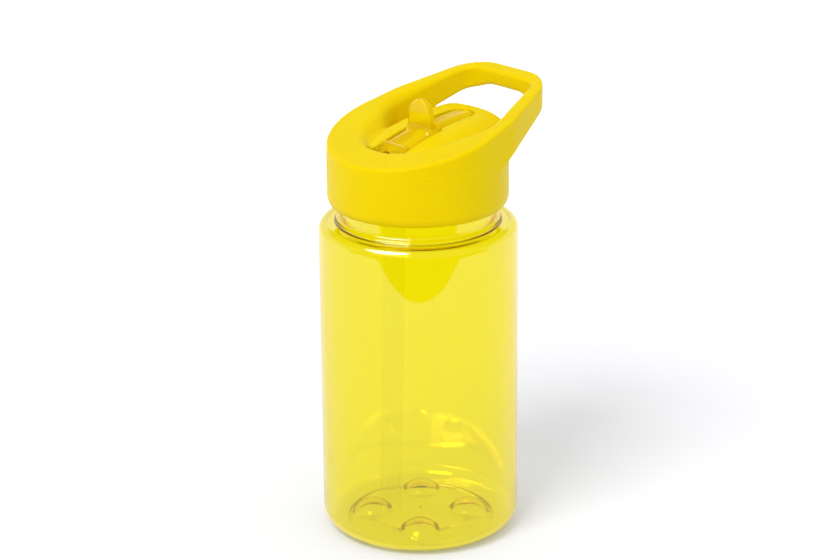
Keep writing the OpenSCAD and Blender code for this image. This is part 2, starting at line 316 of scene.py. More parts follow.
def chain_outline(chain, x, y):
    """Distance to the outline round a chain of circles (x, y, r) that is mirrored in x."""
    x = np.abs(x)
    last = chain[-1]
    distance = y - (last[1] + last[2]) + 0 * x
    arcs = []
    angle = -math.pi / 2
    for a, b in zip(chain, chain[1:]):
        dx, dy = b[0] - a[0], b[1] - a[1]
        touch = math.atan2(dy, dx) - math.acos((a[2] - b[2]) / math.hypot(dx, dy))
        side = (x - a[0]) * math.cos(touch) + (y - a[1]) * math.sin(touch) - a[2]
        distance = np.maximum(distance, side)
        arcs.append((a, angle, touch))
        angle = touch
    arcs.append((last, angle, math.pi / 2))
    for (cx, cy, r), start, end in arcs:
        turn = np.arctan2(y - cy, x - cx)
        arc = np.hypot(x - cx, y - cy) - r
        distance = np.where((turn >= start) & (turn <= end), np.maximum(distance, arc), distance)
    return distance


def slope_plane(z, y, height, slope):
    """Height above a plane that rises towards +Y and crosses the axis at a given height."""
    return (z - height - y * math.tan(slope)) * math.cos(slope)


def gradient(field, points, reach=0.02):
    """Direction in which the field grows fastest."""
    columns = []
    for axis in range(3):
        shift = np.zeros(3)
        shift[axis] = reach
        columns.append(field(*(points + shift).T) - field(*(points - shift).T))
    return np.stack(columns, 1) / (2 * reach)


def settle(field, points, step, least_slope=0.05):
    """One move of the points towards the zero level, of at most half a step."""
    slope = gradient(field, points)
    size = np.maximum((slope ** 2).sum(1), least_slope)
    move = -slope * (field(*points.T) / size)[:, None]
    length = np.linalg.norm(move, axis=1, keepdims=True)
    return points + move * np.minimum(1, 0.5 * step / np.maximum(length, tiny))


def edge_quads(solid, index, axis):
    """Quads round the grid lines along one axis that cross the surface."""
    order = (axis, (axis + 1) % 3, (axis + 2) % 3)
    turned = np.transpose(solid, order)
    cells = np.transpose(index, order)
    ends = turned[:-1, 1:-1, 1:-1], turned[1:, 1:-1, 1:-1]
    around = [cells[:, :-1, :-1], cells[:, 1:, :-1], cells[:, 1:, 1:], cells[:, :-1, 1:]]
    out = ends[0] & ~ends[1]
    back = ends[1] & ~ends[0]
    forward = np.stack([a[out] for a in around], 1)
    reverse = np.stack([a[back] for a in around[::-1]], 1)
    return np.concatenate([forward, reverse])


def skin(field, low, high, step, moves=4):
    """Vertices, quads and normals of a field's zero level in a box, with a margin round it.

    They are surface nets, whose points are then moved onto the true surface.
    """
    low = np.array(low) - skin_margin
    high = np.array(high) + skin_margin
    counts = np.ceil((high - low) / step).astype(int) + 1
    axes = [low[i] + step * np.arange(counts[i]) for i in range(3)]
    value = field(*np.meshgrid(*axes, indexing="ij", sparse=True))
    cells = counts - 1
    corners = np.array([(i, j, k) for i in (0, 1) for j in (0, 1) for k in (0, 1)])
    at_corner = [value[i:i + cells[0], j:j + cells[1], k:k + cells[2]] for i, j, k in corners]
    inside = sum((c < 0).astype(np.int8) for c in at_corner)
    mixed = (inside > 0) & (inside < 8)
    index = np.full(cells, -1)
    index[mixed] = np.arange(mixed.sum())
    values = np.stack([c[mixed] for c in at_corner], 1)
    total = np.zeros((len(values), 3))
    crossings = np.zeros((len(values), 1))
    for a in range(8):
        for b in range(a + 1, 8):
            if np.abs(corners[a] - corners[b]).sum() != 1:
                continue
            va, vb = values[:, a], values[:, b]
            crossed = (va < 0) != (vb < 0)
            share = np.where(crossed, va / np.where(crossed, va - vb, 1), 0)[:, None]
            point = corners[a] + share * (corners[b] - corners[a])
            total += np.where(crossed[:, None], point, 0)
            crossings += crossed[:, None]
    points = low + step * (np.argwhere(mixed) + total / crossings)
    quads = np.concatenate([edge_quads(value < 0, index, axis) for axis in range(3)])
    for _ in range(moves):
        points = settle(field, points, step)
    return points, quads, gradient(field, points)


# Turned outlines

def rounded_path(corners, step, turn=math.radians(6)):
    """Points along a path of (r, z, corner radius) with rounded corners.

    The path runs with the solid on its left, straight stretches are cut into pieces of about a
    step, and a corner is an arc with a point for each turn.
    """
    place = [np.array(c[:2], float) for c in corners]
    ahead = [(b - a) / np.linalg.norm(b - a) for a, b in zip(place, place[1:])]
    points = [place[0]]
    start = place[0]
    for i, direction in enumerate(ahead):
        end = place[i + 1]
        inner = i + 1 < len(ahead)
        if inner:
            after = ahead[i + 1]
            radius = corners[i + 1][2]
            bend = math.atan2(direction[0] * after[1] - direction[1] * after[0], direction @ after)
            reach = radius * math.tan(abs(bend) / 2)
            end = end - direction * reach
        count = max(1, round(np.linalg.norm(end - start) / step))
        for k in range(1, count + 1):
            points.append(start + (end - start) * k / count)
        if inner and radius > 0:
            spoke = math.copysign(radius, bend) * np.array([direction[1], -direction[0]])
            pieces = max(1, round(abs(bend) / turn))
            for k in range(1, pieces + 1):
                angle = bend * k / pieces
                swung = np.array([
                    spoke[0] * math.cos(angle) - spoke[1] * math.sin(angle),
                    spoke[0] * math.sin(angle) + spoke[1] * math.cos(angle),
                ])
                points.append(end - spoke + swung)
        if inner:
            start = place[i + 1] + after * reach
    return np.array(points)


def lathe(path, segments):
    """Grid of points (path, turn, xyz) of a closed outline that is turned round the axis, with its quads."""
    angles = 2 * np.pi * np.arange(segments) / segments
    rows = len(path)
    grid = np.empty((rows, segments, 3))
    grid[..., 0] = path[:, :1] * np.cos(angles)
    grid[..., 1] = path[:, :1] * np.sin(angles)
    grid[..., 2] = path[:, 1:]
    row = np.arange(rows)[:, None]
    col = np.arange(segments)[None, :]
    after = (row + 1) % rows
    beside = (col + 1) % segments
    corners = [
        row * segments + col,
        row * segments + beside,
        after * segments + beside,
        after * segments + col,
    ]
    return grid, np.stack(corners, -1).reshape(-1, 4)


# Meshes

def mesh_piece(name, points, faces, material, body, normals=None):
    """A smooth-shaded piece that rides on a body."""
    data = bpy.data.meshes.new(name)
    data.from_pydata((np.asarray(points) * MM).tolist(), [], np.asarray(faces).tolist())
    data.polygons.foreach_set("use_smooth", [True] * len(data.polygons))
    data.materials.append(material)
    data.update()
    if normals is not None:
        unit = normals / np.maximum(np.linalg.norm(normals, axis=1, keepdims=True), tiny)
        data.normals_split_custom_set_from_vertices(unit.tolist())
    piece = bpy.data.objects.new(name, data)
    bpy.context.scene.collection.objects.link(piece)
    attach(piece, body)
    return piece


# Shader tools

noise_band = (0.3, 0.7)


def new_material(name):
    """A material with an empty principled shader, and its tools."""
    material = bpy.data.materials.new(name)
    material.use_nodes = True
    nodes = material.node_tree.nodes
    return material, nodes, material.node_tree.links, nodes["Principled BSDF"]


def set_inputs(node, **values):
    """Set sockets by name, with underscores for spaces."""
    for name, value in values.items():
        node.inputs[name.replace("_", " ")].default_value = value


def feed(links, socket, value):
    """Give a socket a value, which is a number or another node's output."""
    if isinstance(value, bpy.types.NodeSocket):
        links.new(value, socket)
    else:
        socket.default_value = value


def calculate(nodes, links, operation, a, b):
    """Result of an operation on two values, each a number or an output."""
    step = nodes.new("ShaderNodeMath")
    step.operation = operation
    feed(links, step.inputs[0], a)
    feed(links, step.inputs[1], b)
    return step.outputs[0]


def spread(nodes, links, value, start, end, first, last, interpolation="LINEAR"):
    """A value that runs from first to last while another runs from start to end."""
    span = nodes.new("ShaderNodeMapRange")
    span.interpolation_type = interpolation
    set_inputs(span, From_Min=start, From_Max=end)
    links.new(value, span.inputs["Value"])
    feed(links, span.inputs["To Min"], first)
    feed(links, span.inputs["To Max"], last)
    return span.outputs[0]


def mix_shaders(nodes, links, share, one, other):
    """Two shaders mixed, with a share of the other that is a number or an output."""
    mix = nodes.new("ShaderNodeMixShader")
    feed(links, mix.inputs[0], share)
    links.new(one, mix.inputs[1])
    links.new(other, mix.inputs[2])
    return mix.outputs[0]


def plain_shader(nodes, kind, color):
    """A shader of a kind that has only a colour."""
    shader = nodes.new(kind)
    shader.inputs["Color"].default_value = color
    return shader.outputs[0]


def ray_kind(nodes, links, names, operation="MAXIMUM"):
    """1 for rays of any of the named kinds, or of all of them with MULTIPLY.

    The name of a depth, given alone, makes it a count of bounces.
    """
    path = nodes.new("ShaderNodeLightPath")
    result = path.outputs[names[0]]
    for name in names[1:]:
        result = calculate(nodes, links, operation, result, path.outputs[name])
    return result


def mirrored_ray(nodes, links):
    """1 for rays that a surface mirrors, and not for those that go through it."""
    return ray_kind(nodes, links, ["Is Glossy Ray", "Is Reflection Ray"], "MULTIPLY")


def noise(nodes, links, size, detail=2.0, stretch=(1, 1, 1)):
    """Noise in the piece's own coordinates, with features of a size in millimetres."""
    place = nodes.new("ShaderNodeTexCoord")
    squeeze = nodes.new("ShaderNodeMapping")
    squeeze.inputs["Scale"].default_value = stretch
    pattern = nodes.new("ShaderNodeTexNoise")
    set_inputs(pattern, Scale=1 / (size * MM), Detail=detail)
    links.new(place.outputs["Object"], squeeze.inputs["Vector"])
    links.new(squeeze.outputs[0], pattern.inputs["Vector"])
    return pattern.outputs["Fac"]


def vary(nodes, links, pattern, low, high, socket):
    """Let a pattern of noise move a socket between two values."""
    links.new(spread(nodes, links, pattern, *noise_band, low, high), socket)


def shade(nodes, links, pattern, one, other, socket):
    """Let a pattern move a colour socket between two colours."""
    blend = nodes.new("ShaderNodeMix")
    blend.data_type = "RGBA"
    # This node's socket names repeat for each type of data, so its colour sockets go by number
    blend.inputs[6].default_value = one
    blend.inputs[7].default_value = other
    vary(nodes, links, pattern, 0.0, 1.0, blend.inputs[0])
    links.new(blend.outputs[2], socket)


def relief(nodes, links, pattern, height, socket):
    """Bump of a pattern with a height in millimetres."""
    bump = nodes.new("ShaderNodeBump")
    set_inputs(bump, Strength=1.0, Distance=height * MM)
    links.new(pattern, bump.inputs["Height"])
    links.new(bump.outputs[0], socket)


# Materials, with the sizes of their patterns in millimetres

cap_color = (0.835, 0.635, 0.0005, 1)
cap_color_deep = (0.815, 0.61, 0.0005, 1)
cap_gloss = 0.1
cap_gloss_tint = (1, 0.92, 0.3, 1)
cap_glow = (1.0, 0.75, 0.2)
cap_glow_share = 0.6
cap_glow_reach = 0.6
cap_mottle_size = 14.0
cap_roughness = (0.36, 0.44)
cap_sheen_size = 3.0
cap_grain_size = 0.7
cap_grain_detail = 3.0
cap_grain_rise = 0.02

tint_density = 2200.0
clear_roughness = (0.01, 0.04)
clear_sheen_size = 9.0
wave_size = 16.0
wave_detail = 1.0
wave_stretch = (1, 1, 0.4)
wave_rise = 0.05
caught_bounces = 1.5
body_base = (0.972, 0.936, 1, 1)
body_ior = 1.57
body_gloss_tint = (1, 1, 1, 1)
body_tint = (0.9955, 0.985, 0, 1)
body_films = {
    "Glossy Depth": (0.96, 0.86, 0.4, 1),
    "Is Shadow Ray": (0.41, 0.415, 0.44, 1),
    "Is Diffuse Ray": (0.8, 0.8, 0.82, 1),
}
spout_base = (1, 0.99, 1, 1)
spout_ior = 1.42
spout_gloss_tint = (1, 0.96, 0.62, 1)
spout_tint = (0.999, 0.993, 0, 1)
spout_films = {
    "Is Shadow Ray": (0.95, 0.93, 0.75, 1),
    "Is Diffuse Ray": (0.95, 0.93, 0.75, 1),
}
spout_milk = (0.96, 0.74, 0.003, 1)
spout_milk_share = 0.38

straw_base = (1, 1, 0.98, 1)
straw_ior = 1.012
straw_roughness = (0.15, 0.25)
straw_line_size = 0.5
straw_line_detail = 2.0
straw_line_stretch = (1, 1, 0.02)
straw_line_rise = 0.01
straw_milk = (1, 1, 0.96, 1)
straw_milk_share = 0.02

seal_color = (0.86, 0.86, 0.83, 1)
seal_color_deep = (0.8, 0.8, 0.76, 1)
seal_mottle_size = 2.0
seal_roughness = (0.5, 0.62)
seal_grain_size = 0.3
seal_grain_rise = 0.01


def cap_plastic():
    """Opaque satin moulded plastic with a fine grain."""
    material, nodes, links, shader = new_material("cap_plastic")
    set_inputs(shader, Specular_IOR_Level=cap_gloss, Specular_Tint=cap_gloss_tint)
    set_inputs(shader, Subsurface_Weight=cap_glow_share, Subsurface_Radius=cap_glow)
    set_inputs(shader, Subsurface_Scale=cap_glow_reach * MM)
    mottle = noise(nodes, links, cap_mottle_size)
    shade(nodes, links, mottle, cap_color, cap_color_deep, shader.inputs["Base Color"])
    sheen = noise(nodes, links, cap_sheen_size)
    vary(nodes, links, sheen, *cap_roughness, shader.inputs["Roughness"])
    grain = noise(nodes, links, cap_grain_size, cap_grain_detail)
    relief(nodes, links, grain, cap_grain_rise, shader.inputs["Normal"])
    return material


def clear_plastic(name, base_color, ior, gloss_tint, tint_color, films, milk=None):
    """Polished clear plastic, tinted through its depth, with the faint waves of moulding.

    A film is the colour that the plastic has for one kind of ray: shadow rays, soft light, and light
    that is mirrored inside the plastic more than once.
    """
    material, nodes, links, shader = new_material(name)
    set_inputs(shader, Base_Color=base_color, IOR=ior, Specular_Tint=gloss_tint, Transmission_Weight=1.0)
    sheen = noise(nodes, links, clear_sheen_size)
    vary(nodes, links, sheen, *clear_roughness, shader.inputs["Roughness"])
    waves = noise(nodes, links, wave_size, wave_detail, wave_stretch)
    relief(nodes, links, waves, wave_rise, shader.inputs["Normal"])
    tint = nodes.new("ShaderNodeVolumeAbsorption")
    set_inputs(tint, Color=tint_color, Density=tint_density)
    output = nodes["Material Output"]
    links.new(tint.outputs[0], output.inputs["Volume"])
    surface = shader.outputs[0]
    if milk:
        cloud = plain_shader(nodes, "ShaderNodeBsdfDiffuse", milk)
        surface = mix_shaders(nodes, links, spout_milk_share, surface, cloud)
    for kind, color in films.items():
        share = ray_kind(nodes, links, [kind])
        if kind == "Glossy Depth":
            share = calculate(nodes, links, "GREATER_THAN", share, caught_bounces)
        film = plain_shader(nodes, "ShaderNodeBsdfTransparent", color)
        surface = mix_shaders(nodes, links, share, surface, film)
    links.new(surface, output.inputs["Surface"])
    return material


def milky_plastic():
    """Thin milky straw plastic that lets light through, with drawn lines along it."""
    material, nodes, links, shader = new_material("straw_plastic")
    set_inputs(shader, Base_Color=straw_base, IOR=straw_ior, Transmission_Weight=1.0)
    lines = noise(nodes, links, straw_line_size, straw_line_detail, straw_line_stretch)
    vary(nodes, links, lines, *straw_roughness, shader.inputs["Roughness"])
    relief(nodes, links, lines, straw_line_rise, shader.inputs["Normal"])
    milk = plain_shader(nodes, "ShaderNodeBsdfTranslucent", straw_milk)
    surface = mix_shaders(nodes, links, straw_milk_share, shader.outputs[0], milk)
    links.new(surface, nodes["Material Output"].inputs["Surface"])
    return material


def soft_silicone():
    """Matt silicone of the seals, slightly mottled."""
    material, nodes, links, shader = new_material("soft_seal")
    mottle = noise(nodes, links, seal_mottle_size)
    shade(nodes, links, mottle, seal_color, seal_color_deep, shader.inputs["Base Color"])
    vary(nodes, links, mottle, *seal_roughness, shader.inputs["Roughness"])
    grain = noise(nodes, links, seal_grain_size)
    relief(nodes, links, grain, seal_grain_rise, shader.inputs["Normal"])
    return material


body_plastic = clear_plastic(
    "clear_body", body_base, body_ior, body_gloss_tint, body_tint, body_films)
spout_plastic = clear_plastic(
    "clear_spout", spout_base, spout_ior, spout_gloss_tint, spout_tint, spout_films, spout_milk)
cap_material = cap_plastic()
straw_material = milky_plastic()
seal_material = soft_silicone()


# Bottle body

def thread_ridge(angle, height, start):
    """Share of a full thread ridge at places round and up a thread that starts at a height."""
    best = 0 * angle + 0 * height
    end = 2 * np.pi * thread_turns
    for lap in range(math.ceil(thread_turns)):
        run = angle + 2 * np.pi * lap
        centre = start + thread_pitch * run / (2 * np.pi)
        fade = ramp(run, 0.0, thread_fade) * (1 - ramp(run, end - thread_fade, end))
        best = np.maximum(best, fade * (1 - ramp(np.abs(height - centre), thread_crest, thread_foot)))
    return best


def smooth_max(a, b, width):
    """The larger of two heights, with a soft turn where they cross."""
    mix = np.clip(0.5 + 0.5 * (a - b) / width, 0, 1)
    return b + (a - b) * mix + width * mix * (1 - mix)


def dimple_height(x, y, r):
    """Height of the dimples' balls over the base, far below outside them."""
    height = np.full(np.broadcast(x, y).shape, far_below)
    centre_z = dimple_rise - dimple_r
    for i in range(dimple_count):
        turn = dimple_turn + 2 * math.pi * i / dimple_count
        away = (x - dimple_ring_r * math.cos(turn)) ** 2 + (y - dimple_ring_r * math.sin(turn)) ** 2
        height = np.maximum(height, centre_z + np.sqrt(np.maximum(r * r - away, 0)))
    return height


def body_path():
    """Outline of the body's wall: out along the base, up the outside, and down the inside."""
    inner_r = body_r - wall
    inner_neck_r = neck_r - neck_wall
    inner_shoulder_z = shoulder_z - wall
    inner_ramp_r = foot_r - inner_ramp_in
    bead_z = shoulder_z + bead_rise
    return rounded_path([
        (axis_gap, panel_lift, 0),
        (foot_r - foot_ramp, panel_lift, ramp_round),
        (foot_r, 0, foot_round),
        (body_r, 0, base_round),
        (body_r, shoulder_z, shoulder_round),
        (bead_r, shoulder_z, bead_under_round),
        (bead_r, bead_z, bead_round),
        (neck_r, bead_z, bead_over_round),
        (neck_r, lip_z, lip_round),
        (inner_neck_r, lip_z, lip_round),
        (inner_neck_r, inner_shoulder_z, inner_shoulder_round),
        (inner_r, inner_shoulder_z, inner_shoulder_round),
        (inner_r, wall, base_round - wall),
        (inner_ramp_r, wall, inner_ramp_round),
        (inner_ramp_r - foot_ramp, panel_lift + wall, ramp_round),
        (axis_gap, panel_lift + wall, 0),
    ], body_step)


def bottle_body():
    """The clear body: a turned shell with dimples in its base and a thread ridge on its neck."""
    path = body_path()
    grid, quads = lathe(path, body_segments)
    x, y, z = grid[..., 0], grid[..., 1], grid[..., 2]
    radius = path[:, :1]
    base = (radius < foot_r - dimple_margin) & (z < base_band_z)
    outer_half = np.arange(len(path)) < len(path) / 2
    ball_r = np.where(outer_half, dimple_r, dimple_r + dimple_wall)[:, None]
    raised = smooth_max(z, dimple_height(x, y, ball_r), dimple_blend)
    grid[..., 2] = np.where(base, raised, z)
    angle = np.mod(np.arctan2(y, x), 2 * np.pi)
    on_neck = (np.abs(radius - neck_r) < neck_slack) & (z > shoulder_z + thread_clear)
    grow = np.where(on_neck, neck_thread_rise * thread_ridge(angle, z, thread_z), 0)
    grid[..., :2] *= (1 + grow / radius)[..., None]
    piece = mesh_piece("clear_body", grid.reshape(-1, 3), quads, body_plastic, "bottle")
    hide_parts("bottle_body")


# Screw cap

def crown_roll(x, y, z, inset):
    """The dome's long crown with its rolled sides, thinner all round by an inset."""
    rho = np.hypot(y - crown_y, z - crown_z)
    return round_and(rho - crown_r + inset, np.abs(x) - dome_half_w + inset, dome_roll_r - inset)


def slot_plan(x, y):
    """Plan of the slot that the mouthpiece folds into."""
    end_y = slot_back_y - slot_half_w
    narrow = np.where(y > end_y, np.hypot(x, y - end_y), np.abs(x)) - slot_half_w
    narrow = round_and(narrow, slot_front_y - y, slot_front_round)
    wide_ends = np.maximum(slot_front_y - y, y - hinge_back_y)
    wide = round_and(np.abs(x) - hinge_half_w, wide_ends, hinge_corner_round)
    return round_or(narrow, wide, slot_fillet)


def skirt_side(radius, z):
    """The round blank of the cap, with its lower edge drawn in."""
    drop = np.minimum(z - cap_z - skirt_round_h, 0)
    side = np.hypot(np.maximum(radius - cap_r + skirt_round_r, 0), drop) - skirt_round_r
    return round_and(side, cap_z - z, skirt_edge_round)


def straw_line(x, y, z):
    """Distance from the straw's leaning axis, and the length along it above the boss."""
    along = (z - boss_z) * math.cos(straw_lean) + (y - hinge.y) * math.sin(straw_lean)
    aside = (y - hinge.y) * math.cos(straw_lean) - (z - boss_z) * math.sin(straw_lean)
    return np.hypot(x, aside), along


def valve_hole(x, y, z):
    """The hole for the vent valve through the floor of the slot."""
    lean = math.asin((crown_y - valve_y) / slot_floor_r)
    along = (crown_y - y) * math.sin(lean) + (z - crown_z) * math.cos(lean)
    aside = (y - crown_y) * math.cos(lean) + (z - crown_z) * math.sin(lean)
    return np.maximum(np.hypot(x, aside) - valve_hole_r, np.abs(along - slot_floor_r) - 2 * slot_wall)


def cap_thread(x, y, z):
    """Thread ridge in the bore, half a pitch above the ridge on the neck."""
    radius = np.hypot(x, y)
    start = thread_z + thread_pitch / 2
    half_h = thread_pitch * thread_turns / 2
    ridge = thread_ridge(np.mod(np.arctan2(y, x), 2 * np.pi), z, start)
    ends = np.abs(z - start - half_h) - half_h - thread_pitch / 2
    band = np.maximum(radius - bore_r - thread_root, ends)
    return np.maximum(bore_r - cap_thread_rise * ridge - radius, band)


def cap_top(x, y, z, outer, well):
    """What lies under the sloping rim round the well, and under the deck with its dome."""
    rim = slope_plane(z, y, rim_axis_z, rim_slope)
    front = 1 - ramp(y, well_lean_start_y, well_lean_end_y)
    well_wall = (front * rim - well) / np.hypot(front, 1)
    back = ramp(y, rim_back_start_y, rim_back_end_y)
    inner_round = rim_inner_round - rim_front_less * front - rim_back_less * back
    outer_edge = round_and(outer, rim, rim_outer_round)
    rim_wall = np.maximum(outer_edge, round_and(well_wall, rim, inner_round))
    back_edge = cap_r + dome_back_r * (1 - math.cos(back_lean))
    back_roll = round_and(np.hypot(x, y) - back_edge, z - dome_back_z, dome_back_r)
    dome = np.maximum(crown_roll(x, y, z, 0), back_roll)
    deck = round_or(z - gutter_z, dome, deck_fillet)
    return round_or(rim_wall, deck, deck_fillet)


def cap_blank(x, y, z):
    """The moulding before it is hollowed: skirt, rim, loop handle and dome."""
    radius = np.hypot(x, y)
    outer = chain_outline(loop_chain, x, y)
    well = chain_outline(well_chain, x, y)
    under = -slope_plane(z, y, arm_under_z, arm_under_slope)
    skirt = skirt_side(radius, z)
    arm_space = np.maximum(under, cap_z + 2 * skirt_round_h - z)
    side = np.maximum(outer, round_or(skirt, arm_space, arm_fillet))
    outer_edge = round_and(outer, under, arm_outer_round)
    arm_edges = np.maximum(outer_edge, round_and(-well, under, arm_inner_round))
    arm_edges = arm_edges - arm_edge_depth * (1 - ramp(radius, cap_r, cap_r + arm_edge_run))
    solid = round_and(cap_top(x, y, z, outer, well), side, small_round)
    solid = np.maximum(solid, np.minimum(arm_edges, skirt))
    bar_relief = round_and(np.abs(x) - relief_half_w, z - bar_under_z, relief_round)
    return round_and(solid, -np.maximum(bar_relief, relief_y - y), relief_edge_round)


def cap_field(x, y, z):
    """The cap moulding with its bore, slot, hinge cheeks and straw spigot."""
    radius = np.hypot(x, y)
    rho = np.hypot(y - crown_y, z - crown_z)
    under_crown = rho - crown_r + dome_t / 2
    hinge_r = np.hypot(y - hinge.y, z - hinge.z)
    boss_side = np.hypot(x, y - hinge.y)
    axis_r, along = straw_line(x, y, z)
    plan = slot_plan(x, y)

    bore = np.maximum(radius - bore_r, z - land_z)
    hollow = np.maximum(radius - hollow_r, crown_roll(x, y, z, dome_t))
    hollow = np.maximum(hollow, land_z - overlap - z)
    solid = round_and(cap_blank(x, y, z), -np.minimum(bore, hollow), small_round)

    lining = np.maximum(under_crown, slot_floor_r - slot_wall - rho)
    pocket = np.maximum(plan - slot_wall, lining)
    cheeks = np.maximum(hinge_r - trunnion_r - cheek_wall, np.abs(x) - cheek_half_w)
    cheeks = np.maximum(cheeks, under_crown)
    boss = np.maximum(boss_side - boss_r, np.abs(z - boss_z - slot_wall) - slot_wall)
    spigot_ends = np.abs(along + spigot_l / 2) - spigot_l / 2 - spigot_root
    spigot = np.maximum(axis_r - straw_r + straw_wall + seat_gap, spigot_ends)
    for extra in (pocket, cheeks, boss, spigot, cap_thread(x, y, z)):
        solid = np.minimum(solid, extra)

    slot = np.maximum(plan, slot_floor_r - rho)
    solid = round_and(solid, -slot, slot_edge_round)
    socket = np.maximum(hinge_r - trunnion_r - socket_play, np.abs(x) - socket_half_w)
    seat = np.maximum(boss_side - seat_r, np.abs(z - seat_z - barrel_r) - barrel_r)
    way = np.maximum(axis_r - way_r, np.abs(along + way_middle) - way_half_l)
    for hole in (socket, seat, way, valve_hole(x, y, z)):
        solid = np.maximum(solid, -hole)
    return solid


def screw_cap():
    """The opaque cap, with a thread ridge inside."""
    low = (-cap_r, -cap_r, cap_low.z)
    high = (cap_r, handle_reach, cap_high.z)
    points, quads, normals = skin(cap_field, low, high, cap_step)
    piece = mesh_piece("cap_moulding", points, quads, cap_material, "cap", normals)
    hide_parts("screw_cap")


# Mouthpiece

def finger_tab(x, y, z):
    """The upright tab, round at its top and slightly wider at its foot."""
    round_z = tab_top_z - tab_half_w
    flare = np.minimum(tab_flare * np.maximum(round_z - z, 0), tab_flare_most)
    plate = np.where(z > round_z, np.hypot(x, z - round_z), np.abs(x) - flare) - tab_half_w
    return round_and(plate, np.abs(y - tab_y) - tab_half_t, tab_round)


def spout_field(x, y, z):
    """The flip spout: hinge barrel, flat-topped shank, nozzle with its channel, and finger tab."""
    rho = np.hypot(y - crown_y, z - crown_z)
    u = rho - spout_axis_r
    flats = np.abs(u) - spout_half_h
    tip_r = slot_half_w - tip_side_gap
    tip_y = slot_back_y - tip_back_gap - tip_r
    tip = np.where(y > tip_y, np.hypot(x, y - tip_y), np.abs(x)) - tip_r
    nozzle = round_and(np.abs(x) - nozzle_half_w, flats, nozzle_round)
    nozzle = round_and(nozzle, tip, tip_round)
    back_angle = math.asin((crown_y - shank_back_y) / spout_axis_r)
    past_back = (back_angle - np.arctan2(crown_y - y, z - crown_z)) * rho
    shank = round_and(np.abs(x) - shank_half_w, flats, shank_round)
    shank = round_and(shank, past_back, shank_back_round)
    spout = np.maximum(round_or(nozzle, shank, spout_fillet), hinge.y - y)
    hinge_r = np.hypot(y - hinge.y, z - hinge.z)
    barrel = round_and(hinge_r - barrel_r, np.abs(x) - barrel_half_w, barrel_round)
    trunnion = round_and(hinge_r - trunnion_r, np.abs(x) - trunnion_half_w, trunnion_round)
    tab = np.maximum(finger_tab(x, y, z), -u)
    solid = round_or(np.minimum(spout, barrel), tab, tab_fillet)
    solid = np.minimum(solid, trunnion)
    channel = np.maximum(np.hypot(x, u) - channel_r, hinge.y - overlap - y)
    inlet = np.maximum(np.hypot(x, z - hinge.z) - inlet_r, y - hinge.y - overlap)
    return round_and(solid, -np.minimum(channel, inlet), small_round)


def mouthpiece():
    """The clear flip spout, which turns about its hinge."""
    low = (-trunnion_half_w, hinge.y - barrel_r, hinge.z - barrel_r)
    high = (trunnion_half_w, slot_back_y, tab_top_z)
    points, quads, normals = skin(spout_field, low, high, spout_step)
    piece = mesh_piece("flip_spout", points, quads, spout_plastic, "spout", normals)
    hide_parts("mouthpiece")


# Straw and seals

def straw_tube():
    """The milky straw, pushed onto the cap's spigot, with softly cut ends."""
    top = -straw_gap
    bottom = -(boss_z - straw_gap - straw_low.z) / math.cos(straw_lean) - straw_gap
    inner_r = straw_r - straw_wall
    path = rounded_path([
        (straw_r, bottom / 2, 0),
        (straw_r, top, straw_end_round),
        (inner_r, top, straw_end_round),
        (inner_r, bottom, straw_end_round),
        (straw_r, bottom, straw_end_round),
        (straw_r, bottom / 2, 0),
    ], straw_step)
    grid, quads = lathe(path[:-1], straw_segments)
    x, y, z = grid[..., 0], grid[..., 1], grid[..., 2]
    turned = np.stack([
        x,
        hinge.y + y * math.cos(straw_lean) + z * math.sin(straw_lean),
        boss_z - y * math.sin(straw_lean) + z * math.cos(straw_lean),
    ], -1)
    piece = mesh_piece("straw_tube", turned.reshape(-1, 3), quads, straw_material, "cap")
    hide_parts("straw")


def soft_seal(name):
    """A seal that stays as its solid, with softened edges."""
    seal = frame["nodes"][name]
    seal.data.materials.clear()
    seal.data.materials.append(seal_material)
    edges = seal.modifiers.new("soft_edges", "BEVEL")
    edges.width = seal_edge * MM
    edges.segments = seal_edge_pieces
    edges.limit_method = "ANGLE"
    edges.angle_limit = seal_edge_turn


bottle_body()
screw_cap()
mouthpiece()
straw_tube()
for seal_name in ("cap_gasket", "spout_seal", "vent_valve"):
    soft_seal(seal_name)


# Camera at the photograph's place

image_w = 840
focal_px = 2807.3
camera_turn = math.radians(46)
camera_rise = math.radians(20.11)
camera_roll = math.radians(-0.49)
camera_away = 918.95
camera_near = 10.0
sensor_w = 36.0
aim_z = 84.86
aim_side = 0.41
camera_side = Vector((math.cos(camera_turn), math.sin(camera_turn), 0))
camera_front = Vector((math.sin(camera_turn), -math.cos(camera_turn), 0))


def add_camera():
    """Camera that looks at the axis from the turn and rise of the photograph."""
    forward = -camera_front * math.cos(camera_rise) - Vector((0, 0, math.sin(camera_rise)))
    upward = -camera_front * math.sin(camera_rise) + Vector((0, 0, math.cos(camera_rise)))
    right = camera_side * math.cos(camera_roll) + upward * math.sin(camera_roll)
    top = upward * math.cos(camera_roll) - camera_side * math.sin(camera_roll)
    place = Vector((0, 0, aim_z)) + camera_side * aim_side - forward * camera_away
    data = bpy.data.cameras.new("camera")
    data.sensor_width = sensor_w
    data.lens = focal_px * sensor_w / image_w
    data.clip_start = camera_near * MM
    camera = bpy.data.objects.new("camera", data)
    axes = Matrix((right, top, -forward)).transposed()
    camera.matrix_world = Matrix.Translation(place * MM) @ axes.to_4x4()
    bpy.context.scene.collection.objects.link(camera)
    bpy.context.scene.camera = camera


add_camera()


# Floor, light and background, with lengths in metres

